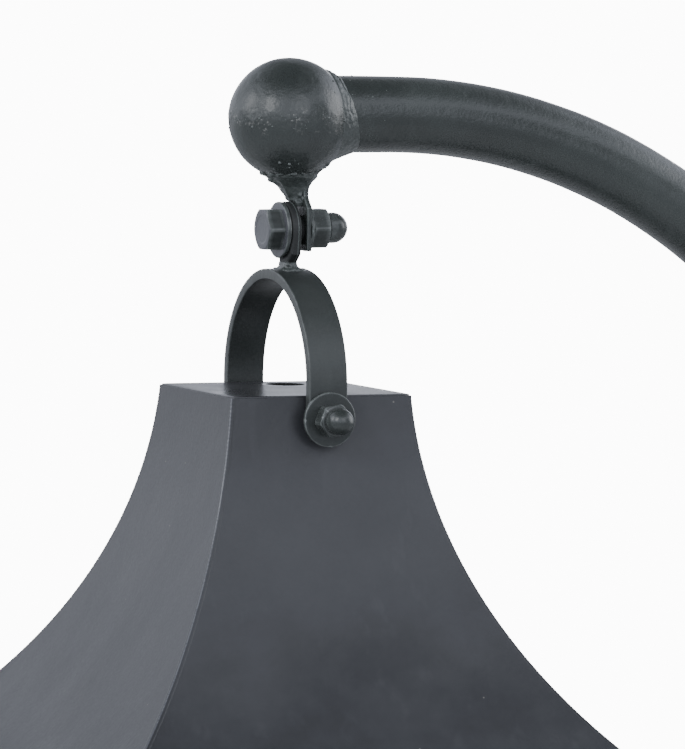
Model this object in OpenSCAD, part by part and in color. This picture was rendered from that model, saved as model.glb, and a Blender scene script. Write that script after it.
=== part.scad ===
// Yard dinner bell: a square flared steel bell with a clapper, hung by a strap and a hinge
// from the ball at the end of a bent pipe arm, on a post with a ground plate.
// The origin is the centre of the ground plate's underside. +Z is up, and the arm
// reaches out along -X. Sizes are millimetres.

/* [Stand] */
// Side of the square ground plate
plate_w = 500; // [440:10:600]
// Thickness of the ground plate
plate_t = 10; // [8:1:16]
// Distance between anchor hole centres, both ways
anchor_pitch = 420; // [340:10:420]
// Diameter of an anchor hole
anchor_d = 14; // [12:1:18]
// Outer diameter of the pipe
pipe_d = 48.3; // [42:0.1:50]
// Wall of the pipe
pipe_t = 3.7; // [3:0.1:4]
// Height of the arm's centreline where it meets the ball
arm_z = 1776; // [1500:1:2100]
// Radius of the arm's bend, to the pipe's centreline
bend_r = 378; // [340:1:420]
// Straight length between the bell's axis and the bend
arm_stub = 70; // [60:1:100]
// Height of the splice between post and arm
splice_z = 1150; // [700:10:1150]
// Length of the tube inside the splice
splice_len = 200; // [160:10:240]

/* [Ball and hinge] */
// Diameter of the ball
ball_d = 76.2; // [70:0.1:80]
// Height of the arm's centreline above the ball's centre
arm_rise = 3; // [0:0.1:4]
// Drop from the ball's centre to the hinge bolt
hinge_drop = 69.8; // [69:0.1:74]
// Diameter of the hinge bolt
hinge_d = 15.88; // [14:0.02:16]
// Thickness of the upper lug
upper_lug_t = 4.76; // [4:0.02:6]
// Width of the upper lug
upper_lug_w = 25.4; // [22:0.1:28]
// Thickness of the lower lug
lower_lug_t = 6.35; // [5:0.05:8]
// Diameter of the lower lug's round end
lower_lug_d = 35.6; // [32:0.1:36]

/* [Strap] */
// Width of the strap
strap_w = 25.4; // [20:0.1:32]
// Thickness of the strap
strap_t = 6.35; // [5:0.05:8]
// Distance between the inner faces of the strap's legs
strap_gap = 128.6; // [128.4:0.1:130]
// Drop from the hinge bolt to the top of the strap
strap_drop = 24.2; // [23:0.1:26]

/* [Bell] */
// Width of the bell across its flat top
top_w = 121; // [118:0.5:121]
// Thickness of the bell's sheet
sheet_t = 3.2; // [2.5:0.1:3.4]
// Radius of the flare, to the outer face
flare_r = 333; // [325:1:340]
// Slope of the wall from vertical at the top
flare_start = 4.4; // [3.5:0.1:5]
// Slope of the wall from vertical at the mouth
flare_end = 57.5; // [50:0.5:60]
// Drop from the strap's top to the flat top of the bell
bell_drop = 75.5; // [75:0.1:78]
// Drop from the flat top to the cross rod
rod_drop = 14; // [13.8:0.1:15]
// Diameter of the cross rod
rod_d = 12.7; // [11:0.1:12.8]
// Diameter of the hole in the flat top
top_hole_d = 24; // [16:1:26]

/* [Clapper] */
// Drop from the cross rod to the centre of the clapper's ball
clapper_drop = 211; // [190:1:212]
// Diameter of the clapper's ball
clapper_d = 56; // [44:1:56]
// Diameter of the clapper's rod
clapper_rod_d = 10; // [8:0.5:12]

/* [Hidden] */
$fn = 96;

paint = "#33383b";
hardware = "#2b2f31";

// Clearances
slack = 0.3;                    // side gap between bodies that turn past each other
run_gap = 0.1;                  // radial clearance of a pin that something turns on
hole_gap = 0.5;                 // how much wider than its bolt a plain hole is
washer_gap = 0.3;               // how much wider than its bolt a washer's hole is
over = 1;                       // how far a cutting shape reaches past what it cuts

// The axes everything hangs from
bell_x = -(arm_stub + bend_r);
ball_x = bell_x + 0.7;
ball_z = arm_z - arm_rise;
hinge_z = ball_z - hinge_drop;
strap_top_z = hinge_z - strap_drop;
bell_z = strap_top_z - bell_drop;
rod_z = bell_z - rod_drop;

// Pipe
pipe_r = pipe_d / 2;
bore_r = pipe_r - pipe_t;
bend_z = arm_z - bend_r;

// Splice
splice_fit = 0.15;
splice_wall = 3.2;
splice_pitch = 100;
splice_bolt_d = 9.5;
splice_head_w = 14.3;
splice_head_t = 6.2;
splice_nut_t = 8.2;
splice_washer_d = 22;
splice_washer_t = 1.8;
splice_tail = 3;
splice_chamfer = 0.8;
splice_hole_d = splice_bolt_d + hole_gap;

// Gussets and the weld round the foot of the post
gusset_w = 90;
gusset_h = 130;
gusset_t = 6.35;
gusset_toe = 12;
foot_weld = 8;
weld_gap = 2;                   // how far a gusset's corner stays clear of the foot weld
plate_corner = 20;

// Ball, and the weld that joins the arm to it: [height above the pipe, distance from the ball's centre]
ball_shell = 3.2;
arm_weld_outline = [[0, 20], [4.6, 20], [3.2, 27], [1.3, 32], [0, 37]];

// Hinge stack along X, measured from the bell's axis
head_washer_t = 2.8;
hinge_head_t = 10.6;
hinge_head_w = 25;
hinge_spacer_t = 3.9;
hinge_spacer_d = 24;
nut_washer_t = 1.7;
nut_washer_d = 27;
hinge_nut_t = 11.7;
hinge_nut_w = 24.2;
hinge_dome_d = 19.4;
hinge_dome_rise = 5.8;
hinge_chamfer = 1.4;
lug_face = lower_lug_t / 2 + slack;
upper_lug_x = lug_face + hinge_spacer_t;
nut_washer_x = upper_lug_x + upper_lug_t;
hinge_nut_x = nut_washer_x + nut_washer_t;

// Upper lug outline, heights from the hinge bolt
upper_lug_low = 13;
upper_lug_shoulder = 12;
upper_lug_neck_z = 20.7;
upper_lug_neck_w = 12.6;
upper_neck_shift = 1.8; // how far the neck stands off the hinge's middle, toward the back

// Weld that flares from the upper lug onto the ball, turned about its own axis:
// [radius, height above the hinge bolt]
upper_weld_x = 4.6;
upper_weld_outline = [[0, 19], [5.5, 19], [7.5, 24], [10, 30], [14, 32.5], [15, 35.2], [0, 44]];

// Lower lug outline, heights from the hinge bolt
lower_neck_w = 13.6;
lower_neck_shift = -3.5; // how far the neck stands off the hinge's middle, toward the front
lower_neck_z = -20;
lower_shoulder_z = -15;
front_shoulder = [-17.5, -3.2, -16.2]; // where the round top ends: [y, height], and y at the shoulder
back_shoulder = [14.6, -10.2, 11.8];

// Weld mound where the lower lug stands on the strap: [radius, height from the hinge bolt]
lower_weld_outline = [
    [0, -20.6], [6.2, -20.6], [7.6, -22.2], [10.4, -23.7], [12.4, -24.8], [12.6, -28], [0, -28]
];

// Strap
leg_in = strap_gap / 2;
arch_r = leg_in + strap_t;
arch_z = strap_top_z - arch_r;

// Bell profile: the wall is an arc about a line outside the bell
flare_x = top_w / 2 + flare_r * cos(flare_start);
flare_z = flare_r * sin(flare_start);
corner_r = 2;
seam_w = 1.6;                   // half width of a corner weld, across the diagonal
top_hole = [15, 34];

// Cross rod hardware, measured out from the bell's axis
leg_washer_d = 34;
leg_washer_t = 2.8;
leg_washer_y = arch_r + slack;
cap_nut_w = 19;
cap_nut_t = 10;
cap_dome_d = 16.4;
cap_dome_rise = 6.4;
cap_chamfer = 1.1;
cap_turn = 10;                  // how far the cap nuts are turned from a flat facing up
cap_nut_y = leg_washer_y + leg_washer_t;
rod_half = cap_nut_y + 14;
inner_nut_t = 8;
bevel_d = 20;
bevel_bite = 4;                 // how far a wedge washer starts inside the wall, before it is cut to fit

// Clapper
hub_len = 26;
hub_d = 19;
collar_w = 9;
collar_d = 20;
collar_screw_d = 5;
screw_socket_w = 2.8;
screw_socket_deep = 1.6;
screw_gap = 0.2;                // how far a set screw's end stands below its collar
eye_d = 22;
eye_t = 8;
eye_hole_d = 11;
eye_root = (eye_d + eye_hole_d) / 4;    // the rod stops inside the eye's rim
eye_gap = 20;
clapper_end = clapper_drop + clapper_d / 2 + eye_gap;

// Distance from the bell's axis to a wall's inner face, at a depth below the flat top
function wall_inner(depth) = flare_x - sqrt(pow(flare_r + sheet_t, 2) - pow(flare_z + depth, 2));

inner_nut_y = wall_inner(rod_drop - cap_nut_w / 2) - inner_nut_t;

// ---------- shared shapes ----------

// Turns a shape built along +Z so that it lies along +X
module along_x() {
    rotate([0, 90, 0]) children();
}

// Turns a shape built along +Z so that it lies along -Y
module along_front() {
    rotate([90, 0, 0]) children();
}

// Repeats a shape, turned half a turn about Z
module both_sides() {
    for (turn = [0, 180]) rotate([0, 0, turn]) children();
}

// Flat ring
module ring(outer_d, inner_d, height) {
    difference() {
        cylinder(d = outer_d, h = height);
        translate([0, 0, -over]) cylinder(d = inner_d, h = height + 2 * over);
    }
}

// Hexagonal prism of a given width across its flats
module hex_prism(flats, height, turn = 0) {
    rotate([0, 0, turn]) cylinder(d = flats / cos(30), h = height, $fn = 6);
}

// Cone that trims the corners off the upper end of a hexagon
module hex_trim(flats, height, chamfer) {
    inset = 0.4;
    outer = flats / 2 / cos(30) + over;
    rotate_extrude() polygon([
        [0, -over], [outer, -over], [outer, height - chamfer], [flats / 2 - inset, height], [0, height]
    ]);
}

// Hexagon with its outer corners trimmed
module trimmed_hex(flats, height, chamfer, turn = 0) {
    intersection() {
        hex_prism(flats, height, turn);
        hex_trim(flats, height, chamfer);
    }
}

// Domed cap nut standing on z = 0, with a blind hole for its stud
module cap_nut(flats, hex_t, dome_d, dome_rise, stud_d, stud_in, chamfer, turn = 0) {
    difference() {
        union() {
            trimmed_hex(flats, hex_t, chamfer, turn);
            cylinder(d = dome_d, h = hex_t + dome_rise);
            translate([0, 0, hex_t + dome_rise]) sphere(d = dome_d);
        }
        translate([0, 0, -over]) cylinder(d = stud_d, h = stud_in + over);
    }
}

// Square plate with rounded corners
module rounded_plate(width, corner, height) {
    straight = width - 2 * corner;
    translate([-straight / 2, -width / 2, 0]) cube([straight, width, height]);
    translate([-width / 2, -straight / 2, 0]) cube([width, straight, height]);
    for (x = [-1, 1], y = [-1, 1]) {
        translate([x * straight / 2, y * straight / 2, 0]) cylinder(r = corner, h = height);
    }
}

module full_ball() {
    translate([ball_x, 0, ball_z]) sphere(d = ball_d);
}

// ---------- stand ----------

module base_plate() color(paint) {
    difference() {
        rounded_plate(plate_w, plate_corner, plate_t);
        for (x = [-1, 1], y = [-1, 1]) translate([x, y, 0] * anchor_pitch / 2) {
            translate([0, 0, -over]) cylinder(d = anchor_d, h = plate_t + 2 * over);
        }
    }
}

module base_weld() color(paint) {
    translate([0, 0, plate_t]) rotate_extrude() polygon([
        [pipe_r, 0], [pipe_r + foot_weld, 0], [pipe_r, foot_weld]
    ]);
}

module gussets() color(paint) {
    for (turn = [45:90:315]) rotate([0, 0, turn]) {
        translate([0, gusset_t / 2, plate_t]) rotate([90, 0, 0]) linear_extrude(gusset_t) polygon([
            [pipe_r + foot_weld + weld_gap, 0], [pipe_r + gusset_w, 0], [pipe_r + gusset_w, gusset_toe],
            [pipe_r + gusset_toe, gusset_h], [pipe_r, gusset_h], [pipe_r, foot_weld + weld_gap]
        ]);
    }
}

// Bolt positions of the splice
module at_splice_bolts() {
    for (side = [-1, 1]) translate([0, 0, splice_z + side * splice_pitch / 2]) children();
}

module splice_holes() {
    at_splice_bolts() rotate([90, 0, 0]) cylinder(d = splice_hole_d, h = 4 * pipe_r, center = true);
}

module post() color(paint) {
    difference() {
        translate([0, 0, plate_t]) cylinder(r = pipe_r, h = splice_z - plate_t);
        translate([0, 0, plate_t - over]) cylinder(r = bore_r, h = splice_z - plate_t + 2 * over);
        splice_holes();
    }
}

module splice_tube() color(paint) {
    outer = 2 * (bore_r - splice_fit);
    difference() {
        translate([0, 0, splice_z - splice_len / 2]) ring(outer, outer - 2 * splice_wall, splice_len);
        splice_holes();
    }
}

module splice_bolts() color(hardware) {
    head_y = pipe_r + splice_washer_t;
    shank = 2 * head_y + splice_nut_t + splice_tail;
    at_splice_bolts() translate([0, -head_y, 0]) {
        along_front() trimmed_hex(splice_head_w, splice_head_t, splice_chamfer);
        rotate([-90, 0, 0]) cylinder(d = splice_bolt_d, h = shank);
    }
}

// Washers are flat, and stand on the pipe's nearest line
module splice_washers() color(hardware) {
    at_splice_bolts() both_sides() {
        translate([0, -pipe_r, 0]) along_front() ring(splice_washer_d, splice_hole_d, splice_washer_t);
    }
}

module splice_nuts() color(hardware) {
    at_splice_bolts() translate([0, pipe_r + splice_washer_t, 0]) rotate([-90, 0, 0]) difference() {
        trimmed_hex(splice_head_w, splice_nut_t, splice_chamfer);
        translate([0, 0, -over]) cylinder(d = splice_bolt_d, h = splice_nut_t + 2 * over);
    }
}

// Arm: upright, quarter bend and stub, at a given radius about the centreline
module arm_route(radius, extra) {
    translate([0, 0, splice_z - extra]) cylinder(r = radius, h = bend_z - splice_z + extra);
    translate([-bend_r, 0, bend_z]) rotate([90, 0, 0]) {
        rotate_extrude(angle = 90) translate([bend_r, 0]) circle(r = radius);
    }
    translate([ball_x, 0, arm_z]) along_x() cylinder(r = radius, h = -bend_r - ball_x);
}

module arm() color(paint) {
    difference() {
        arm_route(pipe_r, 0);
        arm_route(bore_r, over);
        full_ball();
        splice_holes();
    }
}

// Fillet between the pipe and the ball
module arm_weld() color(paint) {
    difference() {
        translate([ball_x, 0, arm_z]) along_x() rotate_extrude() {
            polygon([for (point = arm_weld_outline) point + [pipe_r, 0]]);
        }
        full_ball();
    }
}

// Hollow ball, open to the pipe so that both can drain
module ball() color(paint) {
    lip = 2;
    difference() {
        full_ball();
        translate([ball_x, 0, ball_z]) sphere(d = ball_d - 2 * ball_shell);
        translate([ball_x, 0, arm_z]) along_x() cylinder(r = bore_r - lip, h = ball_d);
    }
}

// ---------- hinge under the ball ----------

module at_hinge(offset = 0) {
    translate([bell_x + offset, 0, hinge_z]) children();
}

// Plate across X from an outline of [y, z] points
module plate_across(thickness, outline) {
    rotate([90, 0, 90]) linear_extrude(thickness) polygon(outline);
}

module upper_lug_blank() {
    wide = upper_lug_w / 2;
    neck = upper_lug_neck_w / 2;
    top = hinge_drop - ball_d / 4;
    at_hinge(upper_lug_x) plate_across(upper_lug_t, [
        [-wide, -upper_lug_low], [wide, -upper_lug_low], [wide, upper_lug_shoulder],
        [upper_neck_shift + neck, upper_lug_neck_z], [upper_neck_shift + neck, top],
        [upper_neck_shift - neck, top], [upper_neck_shift - neck, upper_lug_neck_z],
        [-wide, upper_lug_shoulder]
    ]);
}

module upper_lug() color(paint) {
    difference() {
        upper_lug_blank();
        full_ball();
        at_hinge() along_x() cylinder(d = hinge_d + 2 * run_gap, h = ball_d);
    }
}

// Flared bead round the top of the upper lug
module upper_lug_weld() color(paint) {
    difference() {
        at_hinge(upper_weld_x) rotate_extrude() polygon(upper_weld_outline);
        full_ball();
        upper_lug_blank();
    }
}

module hinge_bolt() color(hardware) {
    head_x = -lug_face - head_washer_t;
    at_hinge(head_x) {
        rotate([0, -90, 0]) trimmed_hex(hinge_head_w, hinge_head_t, hinge_chamfer, 30);
        along_x() cylinder(d = hinge_d, h = hinge_nut_x - head_x + hinge_nut_t);
    }
}

module hinge_head_washer() color(hardware) {
    at_hinge(-lug_face - head_washer_t) along_x() ring(lower_lug_d, hinge_d + washer_gap, head_washer_t);
}

module hinge_spacer() color(hardware) {
    at_hinge(lug_face) along_x() ring(hinge_spacer_d, hinge_d + washer_gap, hinge_spacer_t);
}

module hinge_nut_washer() color(hardware) {
    at_hinge(nut_washer_x) along_x() ring(nut_washer_d, hinge_d + washer_gap, nut_washer_t);
}

module hinge_nut() color(hardware) {
    at_hinge(hinge_nut_x) along_x() {
        cap_nut(hinge_nut_w, hinge_nut_t, hinge_dome_d, hinge_dome_rise,
                hinge_d, hinge_nut_t, hinge_chamfer, 30);
    }
}

// ---------- strap ----------

// Cylinder that fills the strap's arch, for trimming what stands on it
module arch_solid(radius, width) {
    translate([bell_x - width / 2, 0, arch_z]) along_x() cylinder(r = radius, h = width, $fn = 360);
}

module lower_lug_blank() {
    lug_r = lower_lug_d / 2;
    neck = lower_neck_w / 2;
    low = -strap_drop - strap_t / 2;
    at_hinge(-lower_lug_t / 2) {
        along_x() cylinder(r = lug_r, h = lower_lug_t);
        plate_across(lower_lug_t, [
            [lower_neck_shift - neck, low], [lower_neck_shift + neck, low],
            [lower_neck_shift + neck, lower_neck_z], [back_shoulder[2], lower_shoulder_z],
            [back_shoulder[0], back_shoulder[1]], [front_shoulder[0], front_shoulder[1]],
            [front_shoulder[2], lower_shoulder_z], [lower_neck_shift - neck, lower_neck_z]
        ]);
    }
}

module lower_lug() color(paint) {
    difference() {
        lower_lug_blank();
        arch_solid(arch_r, 2 * strap_w);
        at_hinge(-lower_lug_t) along_x() cylinder(d = hinge_d + 2 * run_gap, h = 2 * lower_lug_t);
    }
}

// Flared bead where the lower lug stands on the strap
module lower_lug_weld() color(paint) {
    difference() {
        at_hinge() translate([0, lower_neck_shift, 0]) rotate_extrude() polygon(lower_weld_outline);
        arch_solid(arch_r, 2 * strap_w);
        lower_lug_blank();
    }
}

// One leg of the strap, on the front side, with a round foot
module strap_leg() {
    translate([bell_x - strap_w / 2, -arch_r, rod_z]) cube([strap_w, strap_t, arch_z - rod_z]);
    translate([bell_x, -leg_in, rod_z]) along_front() cylinder(d = strap_w, h = strap_t);
}

module strap() color(paint) {
    difference() {
        union() {
            difference() {
                arch_solid(arch_r, strap_w);
                arch_solid(leg_in, 2 * strap_w);
                translate([bell_x - strap_w, -2 * arch_r, arch_z - 2 * arch_r]) {
                    cube([2 * strap_w, 4 * arch_r, 2 * arch_r]);
                }
            }
            strap_leg();
            mirror([0, 1, 0]) strap_leg();
        }
        at_rod() rotate([90, 0, 0]) cylinder(d = rod_d + 2 * run_gap, h = 4 * arch_r, center = true);
    }
}

// ---------- bell ----------

module at_bell() {
    translate([bell_x, 0, bell_z]) children();
}

module at_rod() {
    translate([bell_x, 0, rod_z]) children();
}

// Solid outside the wall on the +X side, out to a given distance from the flare's axis
module flare_round(radius) {
    translate([flare_x, 0, flare_z]) rotate([90, 0, 0]) {
        cylinder(r = radius, h = 4 * flare_r, center = true, $fn = 360);
    }
}

// Curved sheet on the +X side, before it is cut to its corners
module flared_sheet() {
    reach = 2 * flare_r;
    difference() {
        intersection() {
            difference() {
                flare_round(flare_r + sheet_t);
                flare_round(flare_r);
            }
            translate([flare_x, 2 * flare_r, flare_z]) rotate([90, 0, 0]) linear_extrude(4 * flare_r) {
                polygon([[0, 0], [-reach, 0], reach * [-cos(flare_end), -sin(flare_end)]]);
            }
        }
        translate([-reach, -reach, -sheet_t]) cube(2 * reach);
    }
}

// Upright prism over a plan outline, deep enough for the bell
module plan_prism(outline) {
    translate([0, 0, -flare_r]) linear_extrude(flare_r + over) polygon(outline);
}

// One wall: the sheet cut to the diagonals, less half a seam each side
module bell_panel(turn, rod_hole) {
    wide = flare_r;
    inset = seam_w * sqrt(2);
    at_bell() difference() {
        rotate([0, 0, turn]) intersection() {
            flared_sheet();
            plan_prism([[inset, 0], [wide + inset, wide], [wide + inset, -wide]]);
        }
        if (rod_hole) {
            translate([0, 0, -rod_drop]) rotate([90, 0, 0]) cylinder(d = rod_d, h = 2 * top_w, center = true);
        }
    }
}

module front_panel() color(paint) bell_panel(-90, true);
module back_panel() color(paint) bell_panel(90, true);
module left_panel() color(paint) bell_panel(180, false);
module right_panel() color(paint) bell_panel(0, false);

// Half of a corner weld, on the +X sheet beside the diagonal
module half_seam() {
    wide = flare_r;
    inset = seam_w * sqrt(2);
    intersection() {
        flared_sheet();
        plan_prism([[0, 0], [inset, 0], [wide + inset, wide], [wide, wide]]);
    }
}

module corner_welds() color(paint) {
    at_bell() for (turn = [0:90:270]) rotate([0, 0, turn]) {
        half_seam();
        mirror([1, -1, 0]) half_seam();
    }
}

module top_plate() color(paint) {
    at_bell() difference() {
        translate([0, 0, -sheet_t]) rounded_plate(top_w, corner_r, sheet_t);
        translate([top_hole.x, top_hole.y, -2 * sheet_t]) cylinder(d = top_hole_d, h = 3 * sheet_t);
    }
}

// ---------- cross rod ----------

module cross_rod() color(hardware) {
    at_rod() rotate([90, 0, 0]) cylinder(d = rod_d, h = 2 * rod_half, center = true);
}

// Wedge washers that fill the gap between each flared wall and the strap's leg
module bevel_washers() color(hardware) {
    start = top_w / 2 - bevel_bite;
    at_rod() both_sides() difference() {
        translate([0, -start, 0]) along_front() ring(bevel_d, rod_d, leg_in - slack - start);
        rotate([0, 0, -90]) translate([0, 0, rod_drop]) wall_inside();
    }
}

// Everything inside the outer face of the +X wall
module wall_inside() {
    difference() {
        translate([0, -top_w, -top_w]) cube([top_w, 2 * top_w, top_w]);
        flare_round(flare_r);
    }
}

module inner_nuts() color(hardware) {
    at_rod() both_sides() translate([0, -inner_nut_y, 0]) along_front() difference() {
        hex_prism(cap_nut_w, inner_nut_t);
        translate([0, 0, -over]) cylinder(d = rod_d, h = inner_nut_t + 2 * over);
    }
}

module leg_washers() color(hardware) {
    at_rod() both_sides() translate([0, -leg_washer_y, 0]) along_front() {
        ring(leg_washer_d, rod_d + washer_gap, leg_washer_t);
    }
}

module cap_nuts() color(hardware) {
    at_rod() both_sides() translate([0, -cap_nut_y, 0]) along_front() {
        cap_nut(cap_nut_w, cap_nut_t, cap_dome_d, cap_dome_rise,
                rod_d, rod_half - cap_nut_y, cap_chamfer, cap_turn);
    }
}

// ---------- clapper ----------

module clapper_hub() color(paint) {
    at_rod() rotate([90, 0, 0]) translate([0, 0, -hub_len / 2]) ring(hub_d, rod_d + 2 * run_gap, hub_len);
}

// Rod with a drilled eye for a pull cord below the ball
module clapper_rod() color(paint) {
    at_rod() difference() {
        union() {
            translate([0, 0, eye_root - clapper_end]) cylinder(d = clapper_rod_d, h = clapper_end - eye_root);
            translate([0, 0, -clapper_end]) rotate([90, 0, 0]) cylinder(d = eye_d, h = eye_t, center = true);
        }
        rotate([90, 0, 0]) cylinder(d = hub_d, h = 2 * hub_len, center = true);
        translate([0, 0, -clapper_end]) rotate([90, 0, 0]) {
            cylinder(d = eye_hole_d, h = 3 * eye_t, center = true);
        }
    }
}

module clapper_ball() color(paint) {
    at_rod() translate([0, 0, -clapper_drop]) difference() {
        sphere(d = clapper_d);
        cylinder(d = clapper_rod_d, h = 2 * clapper_d, center = true);
    }
}

// Collars fixed on the cross rod that keep the hub in the middle
module hub_collars() color(hardware) {
    at_rod() both_sides() translate([0, -hub_len / 2 - slack, 0]) difference() {
        along_front() ring(collar_d, rod_d, collar_w);
        translate([0, -collar_w / 2, -collar_d]) cylinder(d = collar_screw_d, h = collar_d);
    }
}

module collar_screws() color(hardware) {
    length = (collar_d - rod_d) / 2;
    at_rod() both_sides() translate([0, -hub_len / 2 - slack - collar_w / 2, -rod_d / 2 - length]) {
        difference() {
            cylinder(d = collar_screw_d, h = length - screw_gap);
            translate([0, 0, -over]) cylinder(d = screw_socket_w, h = screw_socket_deep + over, $fn = 6);
        }
    }
}

base_plate();
base_weld();
gussets();
post();
splice_tube();
splice_bolts();
splice_washers();
splice_nuts();
arm();
arm_weld();
ball();
upper_lug();
upper_lug_weld();
hinge_bolt();
hinge_head_washer();
hinge_spacer();
hinge_nut_washer();
hinge_nut();
lower_lug();
lower_lug_weld();
strap();
top_plate();
front_panel();
back_panel();
left_panel();
right_panel();
corner_welds();
cross_rod();
bevel_washers();
inner_nuts();
leg_washers();
cap_nuts();
clapper_hub();
clapper_rod();
clapper_ball();
hub_collars();
collar_screws();
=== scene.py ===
"""Looks of the yard dinner bell: fine meshes, paint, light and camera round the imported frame."""
import random
from math import asin, atan2, cos, exp, pi, radians, sin, sqrt, tan

import bmesh
import bpy
from mathutils import Matrix, Vector, noise


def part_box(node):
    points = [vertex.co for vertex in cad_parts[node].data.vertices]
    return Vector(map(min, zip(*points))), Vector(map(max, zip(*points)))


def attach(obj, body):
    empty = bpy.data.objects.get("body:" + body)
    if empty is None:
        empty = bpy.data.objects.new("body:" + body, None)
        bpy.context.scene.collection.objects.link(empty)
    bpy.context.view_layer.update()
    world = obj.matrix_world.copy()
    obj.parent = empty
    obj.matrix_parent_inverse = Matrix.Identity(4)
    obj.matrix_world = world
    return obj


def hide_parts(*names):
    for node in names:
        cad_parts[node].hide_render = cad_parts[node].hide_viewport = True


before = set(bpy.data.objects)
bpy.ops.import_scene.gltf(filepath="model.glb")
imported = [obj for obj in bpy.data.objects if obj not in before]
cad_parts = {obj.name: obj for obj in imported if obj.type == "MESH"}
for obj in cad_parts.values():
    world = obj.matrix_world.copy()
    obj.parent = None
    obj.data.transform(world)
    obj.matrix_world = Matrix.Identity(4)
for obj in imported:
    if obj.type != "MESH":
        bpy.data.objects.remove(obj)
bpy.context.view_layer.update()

MM = 0.001
TURN = 2 * pi
UP = Vector((0, 0, 1))

# ---------- places ----------


def angles(count):
    """Equal steps of a full turn."""
    return [TURN * k / count for k in range(count)]


def polar(radius, angle, z=0.0):
    return Vector((radius * cos(angle), radius * sin(angle), z))


def box_centre(node):
    low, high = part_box(node)
    return (low + high) / 2


def box_size(node):
    low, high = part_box(node)
    return high - low


BELL_X = box_centre("top_plate").x
BELL_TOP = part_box("top_plate")[1].z
TOP_HALF = box_size("top_plate").x / 2
SHEET = box_size("top_plate").z
HINGE = Vector((BELL_X, 0, box_centre("hinge_bolt").z))
ROD = Vector((BELL_X, 0, box_centre("cross_rod").z))
BALL_R = box_size("ball").z / 2
BALL = Vector((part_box("ball")[0].x + BALL_R, 0, box_centre("ball").z))
PIPE_R = box_size("post").x / 2
ARM_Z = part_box("arm")[1].z - PIPE_R
SPLICE_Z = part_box("arm")[0].z
STRAP_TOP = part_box("strap")[1].z
STRAP_HALF = box_size("strap").y / 2
CLAPPER = box_centre("clapper_ball")
CLAPPER_R = box_size("clapper_ball").z / 2
PLATE_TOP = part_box("base_plate")[1].z

# Dimensions of the design that no node's box gives
BEND_R = 378 * MM
HOLE = Vector((15 * MM, 34 * MM))
HOLE_R = 12 * MM
# A wall's curve is an arc: its radius, its first and last angle, and its middle
FLARE_R = 333 * MM
FLARE_START = radians(4.4)
FLARE_END = radians(57.5)
FLARE_X = TOP_HALF + FLARE_R * cos(FLARE_START)
FLARE_Z = FLARE_R * sin(FLARE_START)

# ---------- camera ----------

VIEW_AZIMUTH = radians(23.5)
VIEW_ELEVATION = radians(4.0)
VIEW_ROLL = radians(0.84)
VIEW_DISTANCE = 3.015
AIM_RIGHT = 0.0366
AIM_UP = 0.0088
LENS = 230.7
LEVEL_RIGHT = polar(1, -VIEW_AZIMUTH)
LEVEL_BACK = polar(-1, TURN / 4 - VIEW_AZIMUTH)


def camera_side(right, up, toward):
    """Direction given as seen from the camera: to its right, up, and back toward it."""
    return (LEVEL_RIGHT * right + UP * up + LEVEL_BACK * toward).normalized()


def changed(thing, **settings):
    """The thing, with its settings given new values."""
    for name, value in settings.items():
        setattr(thing, name, value)
    return thing


def new_object(name, data):
    thing = bpy.data.objects.new(name, data)
    bpy.context.scene.collection.objects.link(thing)
    return thing


def add_camera():
    """Long lens, level with the bell's flat top and a little above it."""
    forward = -LEVEL_BACK * cos(VIEW_ELEVATION) - Vector((0, 0, sin(VIEW_ELEVATION)))
    level_up = LEVEL_RIGHT.cross(forward)
    right = LEVEL_RIGHT * cos(VIEW_ROLL) + level_up * sin(VIEW_ROLL)
    up = level_up * cos(VIEW_ROLL) - LEVEL_RIGHT * sin(VIEW_ROLL)
    target = Vector((BELL_X, 0, BELL_TOP)) + right * AIM_RIGHT + up * AIM_UP
    camera = new_object("camera", bpy.data.cameras.new("camera"))
    changed(camera.data, lens=LENS, sensor_width=36, clip_end=100)
    turn = Matrix((right, up, -forward)).transposed().to_4x4()
    camera.matrix_world = Matrix.Translation(target - forward * VIEW_DISTANCE) @ turn
    bpy.context.scene.camera = camera


add_camera()

# ---------- materials ----------


def feed(node, inputs):
    """Sets a node's inputs, each to a value or to another node's output."""
    for name, value in inputs.items():
        if isinstance(value, bpy.types.NodeSocket):
            node.id_data.links.new(value, node.inputs[name])
        else:
            node.inputs[name].default_value = value


def add_node(kind, inputs, tree=None, **settings):
    """A node with its settings and inputs, in the tree of the outputs that feed it unless one is given."""
    if tree is None:
        tree = next(value.id_data for value in inputs.values() if isinstance(value, bpy.types.NodeSocket))
    node = changed(tree.nodes.new("ShaderNode" + kind), **settings)
    feed(node, inputs)
    return node


def grain(place, scale, detail=3.0, rough=0.55, distortion=0.0):
    return add_node("TexNoise", {
        "Vector": place, "Scale": scale, "Detail": detail, "Roughness": rough, "Distortion": distortion,
    }).outputs["Fac"]


def remap(value, low, high, to_low=0.0, to_high=1.0):
    return add_node("MapRange", {
        "Value": value, "From Min": low, "From Max": high, "To Min": to_low, "To Max": to_high,
    }, clamp=True).outputs["Result"]


def math_value(operation, first, second=0.0):
    return add_node("Math", {0: first, 1: second}, operation=operation).outputs[0]


def times(first, second):
    return math_value("MULTIPLY", first, second)


def plus(first, second):
    return math_value("ADD", first, second)


def mix(factor, first, second):
    return add_node("Mix", {0: factor, 6: first, 7: second}, data_type="RGBA").outputs[2]


def stretched(place, scale):
    return add_node("Mapping", {"Vector": place, "Scale": scale}).outputs["Vector"]


def bump(height, distance, under=None):
    inputs = {"Height": height, "Distance": distance, "Strength": 1.0}
    if under is not None:
        inputs["Normal"] = under
    return add_node("Bump", inputs).outputs["Normal"]


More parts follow.
